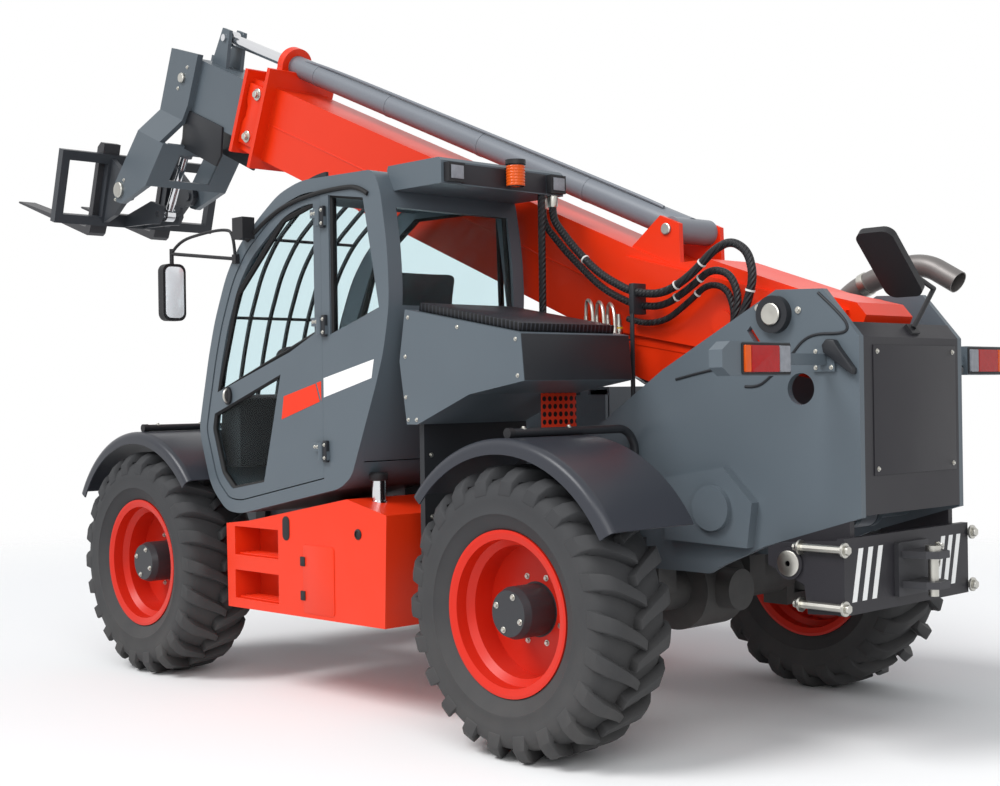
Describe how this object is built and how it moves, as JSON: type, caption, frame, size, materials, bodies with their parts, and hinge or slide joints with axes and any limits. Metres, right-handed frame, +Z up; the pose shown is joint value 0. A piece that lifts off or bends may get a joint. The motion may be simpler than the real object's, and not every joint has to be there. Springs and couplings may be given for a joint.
{
  "type": "telescopic handler",
  "caption": "Four-wheel telescopic handler with side cab, two-stage lifting boom, tilting fork carriage and four steered wheels, parked with the boom raised",
  "frame": {"origin": "centre of the bounding box's underside, on the ground", "axes": "+X forward along the machine, +Y to its left, +Z up"},
  "size_m": [7.22, 2.42, 3.7586],
  "materials": {
    "slate": "satin",
    "signal_red": "gloss",
    "black_paint": "satin",
    "chrome": "polished",
    "barrel_grey": "satin",
    "zinc": "plated",
    "hose": "wrapped",
    "tyre": "matte",
    "glass": "clear",
    "seat_cloth": "woven",
    "black_plastic": "grained",
    "amber": "clear",
    "lamp_lens": "clear",
    "cast": "painted",
    "steel_dark": "matte",
    "exhaust_steel": "heat tinted"
  },
  "bodies": {
    "chassis": {"main_frame": "slate", "boom_pivot_pin": "zinc", "rear_panel": "black_paint", "hitch_plate": "black_paint", "tow_jaw": "black_paint", "tow_pin": "zinc", "front_axle": "cast", "rear_axle": "cast", "mudguards": "black_plastic", "frame_brackets": "black_paint", "cab_floor": "black_paint", "cab_rear_wall": "black_paint", "cab_roof": "slate", "windscreen": "glass", "cab_left_side": "slate", "cab_right_side": "slate", "cab_panes": "glass", "seat": "seat_cloth", "console": "black_plastic", "steering_wheel": "black_plastic", "light_box": "black_paint", "work_lamps": "black_plastic", "beacon": "amber", "cooling_box": "slate", "bulkhead": "black_paint", "fuel_tank": "signal_red", "engine_block": "cast", "side_box": "signal_red", "exhaust": "exhaust_steel", "tail_lights": "lamp_lens", "mirrors": "black_plastic", "screen_guard": "black_paint", "hoses": "hose"},
    "boom": {"outer_boom": "signal_red", "telescope_barrel": "barrel_grey"},
    "inner": {"inner_boom": "signal_red", "telescope_rod": "chrome", "boom_head": "slate"},
    "carriage": {"fork_carriage": "slate", "forks": "black_paint"},
    "lift_barrel": {"lift_barrel": "barrel_grey"},
    "lift_rod": {"lift_rod": "chrome"},
    "tilt_barrel": {"tilt_barrel": "barrel_grey"},
    "tilt_rod": {"tilt_rod": "chrome"},
    "door": {"cab_door": "slate", "cab_door_panes": "glass"},
    "hood": {"engine_hood": "slate"},
    "front_left_knuckle": {"front_left_knuckle": "cast"},
    "front_left_wheel": {"front_left_rim": "signal_red", "front_left_tyre": "tyre"},
    "front_right_knuckle": {"front_right_knuckle": "cast"},
    "front_right_wheel": {"front_right_rim": "signal_red", "front_right_tyre": "tyre"},
    "rear_left_knuckle": {"rear_left_knuckle": "cast"},
    "rear_left_wheel": {"rear_left_rim": "signal_red", "rear_left_tyre": "tyre"},
    "rear_right_knuckle": {"rear_right_knuckle": "cast"},
    "rear_right_wheel": {"rear_right_rim": "signal_red", "rear_right_tyre": "tyre"}
  },
  "joints": [
    {"name": "boom_lift", "type": "hinge", "parent": "chassis", "child": "boom", "pos_m": [-3.105, 0, 1.75], "axis": [0, -1, 0], "range_deg": [-27, 43]},
    {"name": "telescope", "type": "slide", "parent": "boom", "child": "inner", "axis": [0.9219, 0, 0.3875], "range_m": [0, 2.3]},
    {"name": "carriage_tilt", "type": "hinge", "parent": "inner", "child": "carriage", "pos_m": [2.16011, 0, 2.82425], "axis": [0, 1, 0], "range_deg": [-26, 92]},
    {"name": "lift_barrel_swing", "type": "hinge", "parent": "chassis", "child": "lift_barrel", "pos_m": [-3.22, 0, 0.95], "axis": [0, -1, 0], "range_deg": [-18.18, 28.42]},
    {"name": "lift_rod_slide", "type": "slide", "parent": "lift_barrel", "child": "lift_rod", "axis": [0.8881, 0, 0.4596], "range_m": [-0.3024, 0.4727]},
    {"name": "tilt_barrel_swing", "type": "hinge", "parent": "inner", "child": "tilt_barrel", "pos_m": [1.58035, 0, 3.48089], "axis": [0, -1, 0], "range_deg": [-0.96, 2.94]},
    {"name": "tilt_rod_slide", "type": "slide", "parent": "tilt_barrel", "child": "tilt_rod", "axis": [0.5068, 0, -0.8621], "range_m": [-0.2347, 0.0705]},
    {"name": "front_left_steer", "type": "hinge", "parent": "chassis", "child": "front_left_knuckle", "pos_m": [0.43, 0.8, 0.585], "axis": [0, 0, 1], "range_deg": [-30, 30]},
    {"name": "front_left_spin", "type": "hinge", "parent": "front_left_knuckle", "child": "front_left_wheel", "pos_m": [0.43, 1.01, 0.585], "axis": [0, 1, 0], "continuous": true},
    {"name": "front_right_steer", "type": "hinge", "parent": "chassis", "child": "front_right_knuckle", "pos_m": [0.43, -0.8, 0.585], "axis": [0, 0, 1], "range_deg": [-30, 30]},
    {"name": "front_right_spin", "type": "hinge", "parent": "front_right_knuckle", "child": "front_right_wheel", "pos_m": [0.43, -1.01, 0.585], "axis": [0, 1, 0], "continuous": true},
    {"name": "rear_left_steer", "type": "hinge", "parent": "chassis", "child": "rear_left_knuckle", "pos_m": [-2.37, 0.8, 0.585], "axis": [0, 0, -1], "range_deg": [-30, 30]},
    {"name": "rear_left_spin", "type": "hinge", "parent": "rear_left_knuckle", "child": "rear_left_wheel", "pos_m": [-2.37, 1.01, 0.585], "axis": [0, 1, 0], "continuous": true},
    {"name": "rear_right_steer", "type": "hinge", "parent": "chassis", "child": "rear_right_knuckle", "pos_m": [-2.37, -0.8, 0.585], "axis": [0, 0, -1], "range_deg": [-30, 30]},
    {"name": "rear_right_spin", "type": "hinge", "parent": "rear_right_knuckle", "child": "rear_right_wheel", "pos_m": [-2.37, -1.01, 0.585], "axis": [0, 1, 0], "continuous": true},
    {"name": "cab_door", "type": "hinge", "parent": "chassis", "child": "door", "pos_m": [-1.07, 1.096, 1.75], "axis": [0, 0, 1], "range_deg": [0, 95]},
    {"name": "engine_hood", "type": "hinge", "parent": "chassis", "child": "hood", "pos_m": [-0.97, -0.386, 1.456], "axis": [-1, 0, 0], "range_deg": [0, 55]}
  ],
  "couplings": [
    {"joint": "lift_barrel_swing", "follows": "boom_lift", "ratio": 0.64},
    {"joint": "lift_rod_slide", "follows": "boom_lift", "m_per_rad": 0.61},
    {"joint": "tilt_barrel_swing", "follows": "carriage_tilt", "ratio": 0.03},
    {"joint": "tilt_rod_slide", "follows": "carriage_tilt", "m_per_rad": -0.1425},
    {"joint": "front_right_steer", "follows": "front_left_steer", "ratio": 1},
    {"joint": "rear_right_steer", "follows": "rear_left_steer", "ratio": 1}
  ]
}
